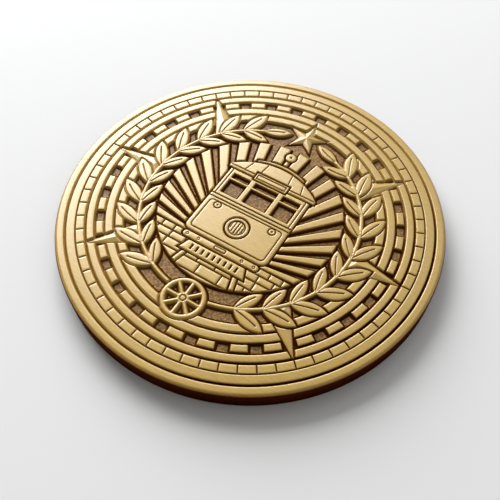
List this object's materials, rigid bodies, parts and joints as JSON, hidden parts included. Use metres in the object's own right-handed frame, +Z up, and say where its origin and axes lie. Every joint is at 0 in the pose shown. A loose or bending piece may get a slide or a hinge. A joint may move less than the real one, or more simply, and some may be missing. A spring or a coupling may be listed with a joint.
{
  "type": "transit token",
  "caption": "Round struck brass fare token: ringed border of bricks and blocks round a laurel wreath and a streetcar front in raised relief, with a raised rim and a plain sunk reverse.",
  "frame": {"origin": "centre of the plane on which the reverse rim rests", "axes": "+Z up through the thickness to the obverse, +Y towards the top of the obverse design, +X to its right"},
  "size_m": [0.05, 0.05, 0.003],
  "materials": {
    "antique_brass": "satin brushed tops with dark patina in the recesses"
  },
  "bodies": {
    "root": {"struck_token": "antique_brass"}
  },
  "joints": []
}
